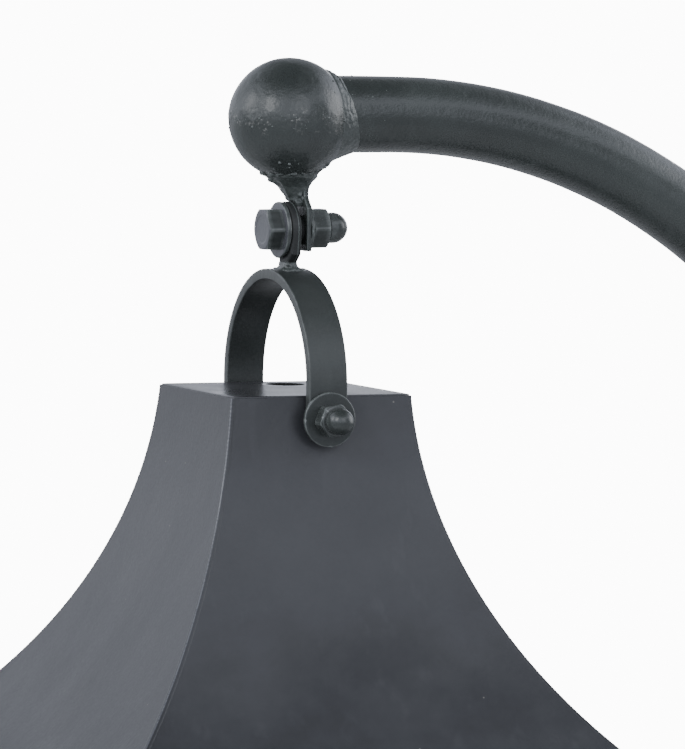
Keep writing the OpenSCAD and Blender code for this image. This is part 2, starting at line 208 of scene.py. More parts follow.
STAND_TINT = (1.0, 1.16, 1.08)
BELL_TINT = (1.0, 1.04, 1.14)
DUST = (0.16, 0.155, 0.145, 1)
CHIPPED = (0.20, 0.19, 0.18, 1)
# Paler convex edges: rubbed paint, and a painted highlight
RUBBED_AND_HIGHLIT = (0.22, 0.24, 0.23, 1)
# Light flecks on the ball's band: scuffs, and painted glints
SCUFFED_AND_GLINTING = (0.24, 0.235, 0.22, 1)
# Near-black painted shade for the wall of the hole in the flat top
HOLE_SHADE = (0.004, 0.004, 0.003, 1)
DARK_STEEL = (0.26, 0.24, 0.22, 1)
PALE_STEEL = (0.40, 0.38, 0.36, 1)
PAINT_IOR = 1.52
SPECK_SIZE = 0.055
SPECK_SHARE = 0.05


def tinted(value, tint=STAND_TINT):
    return tuple(value * share for share in tint) + (1,)


def new_material(name):
    material = bpy.data.materials.new(name)
    material.use_nodes = True
    place = add_node("TexCoord", {}, material.node_tree).outputs["Object"]
    return material, material.node_tree.nodes["Principled BSDF"], place


def off_level(place, level):
    """Distance above or below a level."""
    height = add_node("SeparateXYZ", {"Vector": place}).outputs["Z"]
    return math_value("ABSOLUTE", math_value("SUBTRACT", height, level))


def dust_specks(place):
    """Small round specks, each kept or dropped by chance."""
    dots = add_node("TexVoronoi", {"Vector": place, "Scale": 95.0, "Randomness": 1.0})
    chance = add_node("SeparateColor", {"Color": dots.outputs["Color"]}).outputs[0]
    small = math_value("LESS_THAN", dots.outputs["Distance"], SPECK_SIZE)
    return times(small, math_value("LESS_THAN", chance, SPECK_SHARE))


def worn_and_highlit_edges(place, amount):
    """Convex edges, in patches: rubbed paint, and a painted highlight along them."""
    bend = add_node("NewGeometry", {}, place.id_data).outputs["Pointiness"]
    patches = remap(grain(place, 120, 3, 0.6), 0.35, 0.6, 0.3, 1.0)
    return times(remap(bend, 0.508, 0.570, 0.0, amount), patches)


def scuffs_and_glints_band(place):
    """Broken band of scuffs and painted glints round the middle of the arm's ball."""
    off = off_level(place, BALL.z - 2 * MM)
    patches = remap(grain(place, 70, 2, 0.5), 0.48, 0.58)
    band = times(remap(off, 3 * MM, 10 * MM, 1.0, 0.0), patches)
    marks = remap(grain(place, 480, 3, 0.6), 0.55, 0.64, 0.0, 0.8)
    return times(band, marks)


def painted_hole_shade(place):
    """Mask of the wall of the hole in the flat top, where near-black paint stands in for shade."""
    axis = (BELL_X + HOLE.x, HOLE.y, 0)
    spot = add_node("VectorMath", {0: place, 1: axis}, operation="SUBTRACT")
    level = add_node("VectorMath", {0: spot.outputs[0], 1: (1, 1, 0)}, operation="MULTIPLY")
    away = add_node("VectorMath", {0: level.outputs[0]}, operation="LENGTH").outputs["Value"]
    return remap(away, HOLE_R + 0.1 * MM, HOLE_R + 0.5 * MM, 1.0, 0.0)


def paint(name, slot, colour, tint=STAND_TINT, gloss=0.40, peel=(420, 0.09), lumps=(70, 0.3),
          chip=0.0, edge=0.0, scuffs_and_glints=False, shaded_hole=False):
    """Black paint on steel: faint clouds and streaks, dust, wear, and two sizes of unevenness, each given by
    its noise scale and its depth in mm. Gloss is the roughness in the middle of its range. Edge pales convex
    edges as rubbed paint and painted highlight; the ball's band adds scuffs and painted glints; a shaded hole
    gets near-black painted shade on its wall."""
    material, shader, place = new_material(name)
    cloud = grain(place, 14, 5, 0.6)
    streak = grain(stretched(place, (55, 55, 5)), 1.0, 3, 0.6)
    fine = grain(place, 650, 2, 0.5)
    speck = dust_specks(place)
    dark, light, dusty = (tinted(colour * share, tint) for share in (0.82, 1.2, 1.7))
    base = mix(remap(cloud, 0.35, 0.7), dark, light)
    base = mix(remap(streak, 0.6, 0.8, 0, 0.4), base, dusty)
    base = mix(speck, base, DUST)
    rough = remap(cloud, 0.3, 0.75, gloss - 0.05, gloss + 0.08)
    rough = plus(rough, remap(streak, 0.55, 0.8, 0, 0.06))
    rough = plus(rough, remap(fine, 0.3, 0.7, -0.03, 0.03))
    rough = plus(rough, times(speck, 0.3))
    if chip:
        bare = remap(grain(place, 260, 4, 0.65), 0.80 - chip, 0.82 - chip)
        base = mix(bare, base, CHIPPED)
        feed(shader, {"Metallic": times(bare, 0.8)})
    # Convex edges paler: rubbed paint and a painted highlight
    if edge:
        base = mix(worn_and_highlit_edges(place, edge), base, RUBBED_AND_HIGHLIT)
    # Light flecks round the ball's middle: scuffs, and painted glints
    if scuffs_and_glints:
        base = mix(scuffs_and_glints_band(place), base, SCUFFED_AND_GLINTING)
    # Painted shade: the wall of the hole goes near-black and rougher
    if shaded_hole:
        wall = painted_hole_shade(place)
        base = mix(wall, base, HOLE_SHADE)
        rough = plus(rough, times(wall, 0.6))
    lumpy = bump(grain(place, lumps[0], 3, 0.5), lumps[1] * MM)
    peeled = bump(grain(place, peel[0], 2, 0.5), peel[1] * MM, lumpy)
    feed(shader, {"Base Color": base, "Roughness": rough, "Normal": peeled, "IOR": PAINT_IOR})
    return material


def clapper_material():
    """Satin black paint, knocked through to dull steel in a band where the ball strikes the bell."""
    material, shader, place = new_material("clapper_paint_worn")
    band = remap(off_level(place, CLAPPER.z - 4 * MM), 3 * MM, 13 * MM, 1.0, 0.0)
    patch = grain(place, 150, 5, 0.65)
    worn = remap(times(band, patch), 0.40, 0.46)
    cloud = grain(place, 60, 4, 0.6)
    painted = mix(cloud, tinted(0.026), tinted(0.044))
    steel = mix(cloud, DARK_STEEL, PALE_STEEL)
    height_map = math_value("SUBTRACT", grain(place, 300, 3, 0.5), worn)
    feed(shader, {
        "Base Color": mix(worn, painted, steel),
        "Metallic": worn,
        "Roughness": remap(cloud, 0.3, 0.7, 0.32, 0.48),
        "Normal": bump(height_map, 0.18 * MM),
    })
    return material


def floor_material():
    material, shader, place = new_material("pale_floor")
    cloud = grain(place, 3, 4, 0.6)
    colour = mix(cloud, (0.60, 0.60, 0.60, 1), (0.68, 0.68, 0.67, 1))
    feed(shader, {"Base Color": colour, "Roughness": remap(cloud, 0.3, 0.7, 0.6, 0.75)})
    return material


BAR_FINISH = dict(peel=(450, 0.1), lumps=(90, 0.15))
# Edge pales convex edges: rubbed paint and a painted highlight
BOLT_FINISH = dict(gloss=0.25, peel=(600, 0.03), lumps=(150, 0.08), chip=0.03, edge=0.85)

BELL_PAINT = paint("bell_sheet_paint", "bell_paint", 0.036, BELL_TINT, 0.42, (380, 0.06), (45, 0.35))
# The flat top's hole gets near-black painted shade on its wall
TOP_PAINT = paint("bell_top_paint", "bell_paint", 0.026, BELL_TINT, 0.31, (300, 0.03), (40, 0.1),
                  shaded_hole=True)
STAND_PAINT = paint("stand_paint_coat", "stand_paint", 0.041, gloss=0.25, peel=(520, 0.12),
                    lumps=(130, 0.3))
# The ball's band gets scuffs and painted glints
BALL_PAINT = paint("ball_paint_coat", "stand_paint", 0.038, gloss=0.30, peel=(520, 0.12),
                   lumps=(160, 0.5), scuffs_and_glints=True)
# The strap's paler edges are rubbed paint and a painted highlight
STRAP_PAINT = paint("strap_paint_coat", "stand_paint", 0.031, edge=0.7, **BAR_FINISH)
# Near-black paint for the lower lug: painted shade for the occlusion by the bolt's head and washers
LUG_SHADE_PAINT = paint("lug_painted_shade", "stand_paint", 0.012, gloss=0.60, **BAR_FINISH)
# Lighter paint for painted highlight lines on the lugs' rims
RIM_HIGHLIGHT_PAINT = paint("rim_painted_highlight", "stand_paint", 0.085, gloss=0.32, **BAR_FINISH)
# The weld's paler ridges are rubbed paint and a painted highlight
WELD_PAINT = paint("weld_paint_coat", "weld_paint", 0.058, gloss=0.34, peel=(700, 0.1),
                   lumps=(240, 0.5), edge=0.4)
# Lighter paint for a painted highlight line along the bell's corner seams
SEAM_HIGHLIGHT_PAINT = paint("seam_painted_highlight", "weld_paint", 0.11, BELL_TINT, 0.26, (700, 0.05), (240, 0.1))
FASTENER_PAINT = paint("fastener_paint_coat", "fastener_paint", 0.033, **BOLT_FINISH)
BOLT_PAINT = paint("bolt_paint_coat", "fastener_paint", 0.028, **BOLT_FINISH)
# Lighter paint with chips for a painted reflection on the left-facing faces of the hinge bolt and its washer
LEFT_FACE_REFLECTION_PAINT = paint("left_face_painted_reflection", "fastener_paint", 0.085, BELL_TINT, 0.34, (600, 0.03),
                      (150, 0.12), chip=0.06)
# Near-black paint for the hinge spacer: painted shade in the gap between the lugs
SPACER_SHADE_PAINT = paint("spacer_painted_shade", "fastener_paint", 0.006, gloss=0.75, peel=(450, 0.1))
CLAPPER_PAINT = paint("clapper_paint_coat", "clapper_paint", 0.028, gloss=0.38)
CLAPPER_WORN = clapper_material()

# ---------- mesh helpers ----------


def skin(rings, ends="fan"):
    """Points and faces of a closed skin over rings of equal length. The ends are a fan, a strip
    across a flattened ring, or, for a loop, joined to each other."""
    count = len(rings[0])
    points = [point for ring in rings for point in ring]
    pairs = [(index, index + 1) for index in range(len(rings) - 1)]
    if ends == "loop":
        pairs.append((len(rings) - 1, 0))
    faces = [
        (a * count + k, a * count + (k + 1) % count, b * count + (k + 1) % count, b * count + k)
        for a, b in pairs for k in range(count)
    ]
    if ends == "fan":
        for start, ring in ((0, rings[0]), ((len(rings) - 1) * count, rings[-1])):
            points.append(sum(ring, Vector()) / count)
            middle = len(points) - 1
            faces += [(start + k, start + (k + 1) % count, middle) for k in range(count)]
    if ends == "strip":
        for start in (0, (len(rings) - 1) * count):
            faces += [
                (start + k, start + k + 1, start + count - 2 - k, start + count - 1 - k)
                for k in range(count // 2 - 1)
            ]
    return points, faces


def joined(parts):
    """Several skins as one."""
    points, faces = [], []
    for part_points, part_faces in parts:
        start = len(points)
        points += part_points
        faces += [tuple(start + index for index in face) for face in part_faces]
    return points, faces


def smooth_mesh(mesh, sharp):
    """Outward normals, and smooth shading except across edges sharper than an angle in degrees."""
    work = bmesh.new()
    work.from_mesh(mesh)
    bmesh.ops.remove_doubles(work, verts=work.verts, dist=1e-7)
    bmesh.ops.recalc_face_normals(work, faces=work.faces)
    work.to_mesh(mesh)
    work.free()
    mesh.shade_smooth()
    mesh.set_sharp_from_angle(angle=radians(sharp))


def painted(piece, material):
    piece.data.materials.clear()
    piece.data.materials.append(material)


def repainted(piece, material, chosen):
    """A second paint on the faces for which chosen(face) holds."""
    piece.data.materials.append(material)
    for face in piece.data.polygons:
        if chosen(face):
            face.material_index = 1


def mesh_object(name, shape, material, sharp):
    """An object from points and faces in the frame's own coordinates."""
    mesh = bpy.data.meshes.new(name)
    mesh.from_pydata([tuple(point) for point in shape[0]], [], shape[1])
    smooth_mesh(mesh, sharp)
    mesh.materials.append(material)
    return new_object(name, mesh)


def add_piece(name, shape, body, material, replaces=(), sharp=38):
    piece = mesh_object(name, shape, material, sharp)
    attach(piece, body)
    if replaces:
        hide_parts(*replaces)
    return piece


def bevelled(piece, width, segments=2, angle=50):
    changed(piece.modifiers.new("bevel", "BEVEL"), width=width, segments=segments,
            limit_method="ANGLE", angle_limit=radians(angle), harden_normals=True)


def rounded(corners, amount, steps=3):
    """A closed outline with each corner cut back by an amount and rounded."""
    outline = []
    count = len(corners)
    for index, corner in enumerate(corners):
        corner = Vector(corner)
        sides = []
        for other in (corners[index - 1], corners[(index + 1) % count]):
            way = Vector(other) - corner
            sides.append(corner + way.normalized() * min(amount, 0.45 * way.length))
        for step in range(steps + 1):
            t = step / steps
            outline.append(sides[0] * (1 - t) ** 2 + corner * 2 * t * (1 - t) + sides[1] * t ** 2)
    return outline


def axis_place(origin, axis):
    """Matrix that takes +Z to an axis, with the origin moved."""
    return Matrix.Translation(origin) @ Vector(axis).to_track_quat("Z", "Y").to_matrix().to_4x4()


def spun(degrees, x=0.0):
    """Matrix of a turn about the upright through x."""
    return Matrix.Translation((x, 0, 0)) @ Matrix.Rotation(radians(degrees), 4, "Z")


def turned_ring(place, radius, height, steps):
    """Ring about local Z. The radius and height may be functions of the angle."""
    def at(value, angle):
        return value(angle) if callable(value) else value

    return [place @ polar(at(radius, angle), angle, at(height, angle)) for angle in angles(steps)]


def turned(place, profile, steps=96, ends="fan"):
    """Skin of a profile of (radius, height) turned about local Z."""
    return skin([turned_ring(place, radius, height, steps) for radius, height in profile], ends)


def washer(place, outer, inner, thickness, edge, steps=96):
    """Ring with rounded edges, and points near them on its flat sides."""
    inset = min(3 * edge, 0.4 * (outer - inner))
    corners = [(outer, 0), (outer, thickness), (outer - inset, thickness), (inner + inset, thickness),
               (inner, thickness), (inner, 0), (inner + inset, 0), (outer - inset, 0)]
    return turned(place, rounded([Vector(c) for c in corners], edge), steps, "loop")


def hexagon_radius(flats, turn, blunt=0.35 * MM):
    """Radius of a hexagon at an angle, with its corners slightly blunted."""
    apothem = flats / 2
    sixth = TURN / 6

    def radius(angle):
        off = (angle - turn + sixth / 2) % sixth - sixth / 2
        return min(apothem / cos(off), apothem / cos(sixth / 2) - blunt)
    return radius


def hexagon_profile(flats, height, turn, both=False):
    """Rings of a hexagon from z = 0 up, its corners chamfered by a cone at the top or at both ends."""
    radius = hexagon_radius(flats, turn)
    face_r = flats / 2 - 0.2 * MM
    slope = tan(radians(30))

    def trimmed(angle):
        return min(radius(angle), face_r)

    def drop(angle):
        return max(0.25 * MM, (radius(angle) - face_r) * slope)

    def mixed(share):
        return lambda angle: trimmed(angle) + (radius(angle) - trimmed(angle)) * share

    low = [(mixed(0.0), 0.0), (mixed(0.6), lambda a: drop(a) * 0.5), (radius, lambda a: drop(a) * 1.1)]
    if not both:
        low = [(lambda a: radius(a) - 0.3 * MM, 0.0), (radius, 0.3 * MM)]
    low.append((radius, height * 0.22))
    high = [
        (radius, height * 0.70), (radius, lambda a: height - drop(a) * 1.1),
        (mixed(0.6), lambda a: height - drop(a) * 0.5), (mixed(0.15), lambda a: height - 0.05 * MM),
        (lambda a: trimmed(a) - 0.3 * MM, height),
    ]
    return low + high


def dome_profile(base, radius, rise, neck):
    """Rings of a domed cap: a groove, a short barrel and a half ball, from a base height."""
    profile = [(radius + 1.0 * MM, base), (radius - neck, base + 0.35 * MM), (radius - neck, base + 0.9 * MM),
               (radius - 0.05 * MM, base + 1.5 * MM), (radius, base + rise)]
    for step in range(1, 14):
        angle = TURN / 4 * step / 13.5
        profile.append((radius * cos(angle), base + rise + radius * sin(angle)))
    return profile


def cap_nut(place, flats, height, turn, dome_r, rise, neck):
    rings = hexagon_profile(flats, height, turn, both=True) + dome_profile(height, dome_r, rise, neck)
    return turned(place, rings, 144)


def sphere_points(centre, radius, level):
    """Points and faces of a ball of small triangles."""
    work = bmesh.new()
    bmesh.ops.create_icosphere(work, subdivisions=level, radius=radius, matrix=Matrix.Translation(centre))
    points = [vertex.co.copy() for vertex in work.verts]
    faces = [tuple(vertex.index for vertex in face.verts) for face in work.faces]
    work.free()
    return points, faces


def displaced(piece, height):
    """Moves each point along its normal by height(point)."""
    mesh = piece.data
    normals = [vertex.normal.copy() for vertex in mesh.vertices]
    for vertex, normal in zip(mesh.vertices, normals):
        vertex.co += normal * height(vertex.co)
    mesh.update()
    return piece


def uneven(size, depth, seed, octaves=3):
    """Height function: smooth noise of a given grain size and depth in mm."""
    shift = Vector((seed * 3.7, seed * 1.3, seed * 2.1))
    return lambda point: noise.fractal(point / (size * MM) + shift, 1.0, 2.0, octaves) * depth * MM


def fused(name, parts, voxel, body, replaces, rough):
    """Overlapping lumps melted into one skin, as weld metal is, and roughened."""
    piece = add_piece(name, joined(parts), body, WELD_PAINT, replaces)
    changed(piece.modifiers.new("melt", "REMESH"), mode="VOXEL", voxel_size=voxel, use_smooth_shade=True)
    changed(piece.modifiers.new("soften", "SMOOTH"), factor=0.5, iterations=3)
    bpy.context.view_layer.update()
    made = piece.evaluated_get(bpy.context.evaluated_depsgraph_get())
    mesh = bpy.data.meshes.new_from_object(made)
    piece.modifiers.clear()
    piece.data = mesh
    painted(piece, WELD_PAINT)
    mesh.shade_smooth()
    displaced(piece, rough)


def bead(path, radius, pitch, seed, closed=False):
    """Skin of a rippled weld bead along a path."""
    spins = random.Random(seed)
    rings = []
    count = len(path)
    for index, point in enumerate(path):
        before = path[index - 1] if closed or index else point
        after = path[(index + 1) % count] if closed or index < count - 1 else point
        place = axis_place(point, after - before)
        way = index / max(count - 1, 1)
        ripple = 0.10 * sin(TURN * index / pitch) + spins.uniform(-0.05, 0.05)
        taper = 1.0 if closed else min(1.0, 0.35 + 6 * min(way, 1 - way))
        grown = radius * (1 + ripple) * taper
        rings.append(turned_ring(place, grown, 0, 10))
    return skin(rings, "loop" if closed else "fan")


def straight(start, end, spacing):
    """Points along a line."""
    count = max(4, int((end - start).length / spacing))
    return [start.lerp(end, k / count) for k in range(count + 1)]


def circle(centre, radius, count):
    """Points round a level circle."""
    return turned_ring(axis_place(centre, (0, 0, 1)), radius, 0, count)


# ---------- bell ----------

WALL_TOP = 0.9 * MM
SEAM_GAP = 1.6 * MM * sqrt(2)
WALLS = {"front": -90, "back": 90, "left": 180, "right": 0}


def wall_point(angle, thickness):
    """Outward distance and height of a wall's surface, at an angle round its flare."""
    radius = FLARE_R + thickness
    return FLARE_X - radius * cos(angle), BELL_TOP + FLARE_Z - radius * sin(angle)


def wall_angles(count):
    first = asin((FLARE_Z + WALL_TOP) / FLARE_R)
    return [first + (FLARE_END - first) * k / count for k in range(count + 1)]


def wall_shape(turn, seed):
    """One flared wall, slightly buckled by the heat of its seams."""
    spin = spun(turn, BELL_X)
    across = 56
    ripple = uneven(70, 0.55, seed, 2)
    rings = []
    for angle in wall_angles(110):
        ring = []
        for thickness, order in ((0, range(across + 1)), (SHEET, range(across, -1, -1))):
            outward, z = wall_point(angle, thickness)
            for k in order:
                share = 2 * k / across - 1
                y = share * (outward - SEAM_GAP)
                fade = (1 - share ** 4) * min(1, (angle - FLARE_START) / 0.12)
                shift = polar(fade * ripple(Vector((seed * 0.1, y, z))), angle)
                ring.append(spin @ Vector((outward + shift.x, y, z + shift.y)))
        rings.append(ring)
    return skin(rings, "strip")


def seam_shape(turn, seed):
    """Corner weld between two walls: a low rounded bead outside and a fillet inside."""
    spin = spun(turn, BELL_X)
    spins = random.Random(seed)
    wander = uneven(9, 0.45, seed, 2)
    rings = []
    for index, angle in enumerate(wall_angles(430)):
        out, z_out = wall_point(angle, 0)
        inner, z_in = wall_point(angle, SHEET)
        drift = wander(Vector((0, 0, z_out)))
        ripple = 0.05 * MM * sin(TURN * index / 3.6) + spins.uniform(-0.03, 0.03) * MM
        lap = SEAM_GAP + 0.6 * MM + 0.5 * drift
        proud = out + 0.04 * MM + ripple
        turn_in = 1.1 * MM + 0.3 * drift
        bends = [step / 5 for step in range(6)]
        nose = [(proud - turn_in * bend ** 2, proud - turn_in * (1 - bend) ** 2) for bend in bends]
        outer = [(out + 0.01 * MM, out - lap), (proud, out - lap + 0.5 * MM)] + nose
        outer += [(out - lap + 0.5 * MM, proud), (out - lap, out + 0.01 * MM)]
        root = inner - 2.6 * MM - ripple
        fillet = [(inner - 4 * MM, inner), (root, root), (inner, inner - 4 * MM)]
        ring = [spin @ Vector((x, y, z_out)) for x, y in outer]
        rings.append(ring + [spin @ Vector((x, y, z_in)) for x, y in fillet])
    return skin(rings, "fan")


def crossings(start, way, corners):
    """Distances from a point, along a direction, to the sides of a closed outline."""
    for index, corner in enumerate(corners):
        side = corners[(index + 1) % len(corners)] - corner
        apart = way.x * side.y - way.y * side.x
        if abs(apart) < 1e-12:
            continue
        to = corner - start
        share = (to.x * way.y - to.y * way.x) / apart
        if -1e-6 <= share <= 1 + 1e-6:
            yield (to.x * side.y - to.y * side.x) / apart


PLATE_HALF = TOP_HALF - 0.4 * MM
PLATE_EDGE = 0.7 * MM
PLATE_CORNER = 3.2 * MM
PLATE_STEPS = 180
PLATE_SPANS = (0.06, 0.14, 0.25, 0.4, 0.55, 0.7, 0.82, 0.92)
PLATE_SAG = uneven(60, 0.25, 5, 2)


def plate_directions():
    """Directions from the hole's middle, each with the distance to the plate's rim."""
    corners = [Vector(c) * PLATE_HALF for c in ((1, 1), (-1, 1), (-1, -1), (1, -1))]
    outline = rounded(corners, PLATE_CORNER, 8)
    ways = [polar(1, angle).xy for angle in angles(PLATE_STEPS)]
    return [(way, min(t for t in crossings(HOLE, way, outline) if t > 0)) for way in ways]


def plate_face(directions):
    """Rings of the upper face from the rim in to the hole: (point, height) with rounded edges."""
    edge_rows = [(0.0, -PLATE_EDGE), (0.25 * PLATE_EDGE, -0.3 * PLATE_EDGE), (PLATE_EDGE, 0.0)]
    face = []
    for inset, height in edge_rows:
        face.append([(HOLE + way * (reach - inset), height) for way, reach in directions])
    for span in PLATE_SPANS:
        face.append([
            (HOLE + way * ((reach - PLATE_EDGE) * (1 - span) + (HOLE_R + PLATE_EDGE) * span), 0.0)
            for way, reach in directions
        ])
    for inset, height in reversed(edge_rows):
        face.append([(HOLE + way * (HOLE_R + inset), height) for way, _ in directions])
    return face


def plate_point(point, height):
    """A point of the plate in the frame, with the plate pulled down a little by its welds."""
    fade = max(0, 1 - abs(point.x / PLATE_HALF) ** 3) * max(0, 1 - abs(point.y / PLATE_HALF) ** 3) * 0.8
    sag = PLATE_SAG(Vector((point.x, point.y, 0))) * fade
    return Vector((BELL_X + point.x, point.y, BELL_TOP + height + sag))


def top_plate_shape():
    """Flat top with rounded corners and edges, and its hole."""
    upper = plate_face(plate_directions())
    lower = [[(point, -SHEET - height) for point, height in ring] for ring in reversed(upper)]
    return skin([[plate_point(point, height) for point, height in ring] for ring in upper + lower], "loop")


def add_seams():
    """Corner seams, with a lighter paint only on the corner itself: a painted highlight along each corner."""
    seams = joined([seam_shape(turn, 20 + turn) for turn in (0, 90, 180, 270)])
    piece = add_piece("corner_seams", seams, "bell", SEAM_HIGHLIGHT_PAINT, ("corner_welds",), 60)

    def off_corner(face):
        return abs(abs(face.center.x - BELL_X) - abs(face.center.y)) > 0.55 * MM

    repainted(piece, BELL_PAINT, off_corner)


def add_bell():
    for seed, (side, turn) in enumerate(WALLS.items()):
        wall = add_piece("wall_" + side, wall_shape(turn, seed + 1), "bell", BELL_PAINT, (side + "_panel",))
        bevelled(wall, 0.55 * MM)
    add_seams()
    add_piece("flat_top", top_plate_shape(), "bell", TOP_PAINT, ("top_plate",))


# ---------- hanger: strap and lower lug ----------

STRAP_T = 6.35 * MM
STRAP_W = 25.4 * MM
STRAP_EDGE = 0.9 * MM


def strap_section(width):
    """Section of the flat bar, from half its width: rounded edges, and points near them."""
    near = width - min(2 * MM, 0.4 * width)
    side = [width, near, -near, -width]
    corners = [Vector((x, STRAP_T / 2)) for x in side] + [Vector((x, -STRAP_T / 2)) for x in reversed(side)]
    return rounded(corners, min(STRAP_EDGE, 0.6 * width), 4)


def strap_route():
    """Stations along the strap's middle line: point, outward direction and half width."""
    mid_r = STRAP_HALF - STRAP_T / 2
    arch_z = STRAP_TOP - STRAP_HALF
    half_w = STRAP_W / 2
    leg = arch_z - ROD.z
    foot = [TURN / 4 * k / 14 for k in range(1, 15)]
    rises = [(-half_w * cos(angle), half_w * sin(angle) + 1e-6) for angle in foot]
    rises += [(leg * k / 16, half_w) for k in range(1, 16)]
    start = [(Vector((0, -mid_r, ROD.z + rise)), Vector((0, -1, 0)), width) for rise, width in rises]
    arch = []
    for k in range(121):
        angle = pi * k / 120
        way = Vector((0, -cos(angle), sin(angle)))
        arch.append((Vector((0, 0, arch_z)) + way * mid_r, way, half_w))
    end = [(Vector((p.x, -p.y, p.z)), Vector((0, 1, 0)), width) for p, _, width in reversed(start)]
    return start + arch + end


def strap_shape():
    """Flat bar bent to an arch, with round feet."""
    bend = uneven(40, 0.25, 31, 2)
    rings = []
    for point, way, width in strap_route():
        middle = Vector((BELL_X, 0, 0)) + point + way * bend(point) * 0.5
        rings.append([middle + Vector((p.x, 0, 0)) + way * p.y for p in strap_section(width)])
    return skin(rings, "fan")


# Local X of this place is +Y, local Y is up and local Z is +X, so a lug's angle 0 is +Y and a quarter is up
HINGE_PLACE = Matrix.Translation(HINGE) @ Matrix(((0, 0, 1), (1, 0, 0), (0, 1, 0))).to_4x4()
LUG_BORE = 8.04 * MM
LUG_STEPS = 360
LUG_T = box_size("lower_lug").x
LUG_R = 17.8 * MM
# Lug outlines: corners in mm round the hinge bolt
LOWER_LUG = [(-10.3, -25), (3.3, -25), (3.3, -20), (11.8, -15), (14.6, -10.2), (-17.5, -3.2), (-16.2, -15),
             (-10.3, -20)]
UPPER_LUG = [(12.7, -13.0), (12.7, 12.0), (8.1, 20.7), (8.1, 40.0), (-6.4, 40.0), (-6.4, 21.5), (-12.7, 14.2),
             (-12.7, -13.0)]
# Rim of the lower lug: mm from its left face, and how far the rim is set in
LOWER_RIM = [(0, 2.0), (0.5, 0.9), (1.2, 0.2), (2.2, 0), (4.05, 0.05), (4.4, -0.16), (4.75, 0.22),
             (5.35, 0.18), (5.95, 0), (6.35, 0.6)]
# Bands of the lower lug's rim, in mm from its left face, that get painted highlight lines
LOWER_RIM_HIGHLIGHTS = ((4.05, 4.6), (5.95, 6.35))
# Weld round the lower lug's foot: sections as flare() takes them
LOWER_WELD = [
    (-19.6, 0, -3.1, 3.2, 7.2, 6), (-20.2, 0, -3.1, 3.9, 8.0, 5), (-22.4, 0.1, -3.3, 4.4, 8.2, 4),
    (-23.4, 0.4, -3.2, 5.8, 8.8, 3), (-24.1, 0.9, -2.6, 8.0, 10.6, 2.4), (-25.1, 1.4, -1.8, 10.3, 12.2, 2.2),
    (-28.0, 0, -1, 10.5, 11.0, 2.2),
]


def outline_reach(corners, radius=0.0):
    """Reach of a lug's outline at an angle, and never less than a radius."""
    corners = [Vector(corner) * MM for corner in corners]
    middle = Vector((0, 0))
    return lambda angle: max([radius] + list(crossings(middle, polar(1, angle).xy, corners)))


def lug_solid(place, reach, rim):
    """Plate with a hole. The rim's rows are (height, how far in the rim is), both in mm."""
    rows = [(height * MM, inset * MM) for height, inset in rim]
    low, high = rows[0][0], rows[-1][0]
    rows = [(low, rows[0][1] + 0.8 * MM)] + rows + [(high, rows[-1][1] + 0.8 * MM)]
    rings = [turned_ring(place, lambda a, i=inset: reach(a) - i, height, LUG_STEPS) for height, inset in rows]
    bore = [(high, 1.1 * MM), (high, 0.3 * MM), (high - 0.3 * MM, 0), (low + 0.3 * MM, 0), (low, 0.3 * MM),
            (low, 1.1 * MM)]
    rings += [turned_ring(place, LUG_BORE + wide, height, LUG_STEPS) for height, wide in bore]
    return skin(rings, "loop")


def rim_highlights(piece, left, bands):
    """Painted highlight lines: lighter paint on a lug's rim, in bands given in mm from its left face."""
    def on_band(face):
        height = (face.center.x - left) / MM
        return abs(face.normal.x) < 0.95 and any(low < height < high for low, high in bands)

    repainted(piece, RIM_HIGHLIGHT_PAINT, on_band)


def flare(sections, shift=0.0):
    """Skin through level sections round the hinge bolt, in mm: (height, x, y, half x, half y, power).
    A section is an ellipse at power 2 and comes near a rectangle at high powers."""
    rings = []
    for height, x, y, half_x, half_y, power in sections:
        centre = HINGE + Vector((x + shift, y, height)) * MM
        ring = []
        for angle in angles(48):
            c, s = cos(angle), sin(angle)
            reach = (abs(c) ** power + abs(s) ** power) ** (-1 / power)
            ring.append(centre + Vector((half_x * MM * c * reach, half_y * MM * s * reach, 0)))
        rings.append(ring)
    return skin(rings, "fan")


def lump(x, y, z, radius):
    """Small ball of weld metal, placed in mm from the hinge bolt's middle."""
    return sphere_points(HINGE + Vector((x, y, z)) * MM, radius * MM, 2)


def lower_weld_parts():
    """Weld round the lower lug's foot: its body, a row of lumps round it and a few on the front."""
    parts = [flare(LOWER_WELD)]
    spins = random.Random(77)
    for angle in angles(22):
        x, y = 9.2 * cos(angle) + 1.2, 10.4 * sin(angle) - 1.8
        z = -25.6 + spins.uniform(-0.3, 0.5)
        parts.append(lump(x, y, z, spins.uniform(1.4, 2.1)))
    for _ in range(5):
        x = spins.uniform(-3.5, 3.5)
        z = spins.uniform(-23.4, -20.6)
        parts.append(lump(x, -10.7, z, spins.uniform(0.9, 1.4)))
    return parts


def add_hanger():
    add_piece("strap_bar", strap_shape(), "hanger", STRAP_PAINT, ("strap",))
    place = HINGE_PLACE @ Matrix.Translation((0, 0, -LUG_T / 2))
    solid = lug_solid(place, outline_reach(LOWER_LUG, LUG_R), LOWER_RIM)
    # The lower lug's near-black paint is painted shade
    lug = add_piece("lug_lower", solid, "hanger", LUG_SHADE_PAINT, ("lower_lug",))
    # Painted highlight lines on the lower lug's rim
    rim_highlights(lug, HINGE.x - LUG_T / 2, LOWER_RIM_HIGHLIGHTS)
    fused("lug_foot_weld", lower_weld_parts(), 0.45 * MM, "hanger", ("lower_lug_weld",),
          uneven(2.6, 0.20, 41, 3))


# ---------- stand: arm and ball ----------

ARM_STEPS = 72
ARM_END = BALL.x + 22 * MM
ARM_WALL = uneven(45, 0.22, 11, 2)
BALL_DENTS = uneven(22, 0.22, 0, 2)


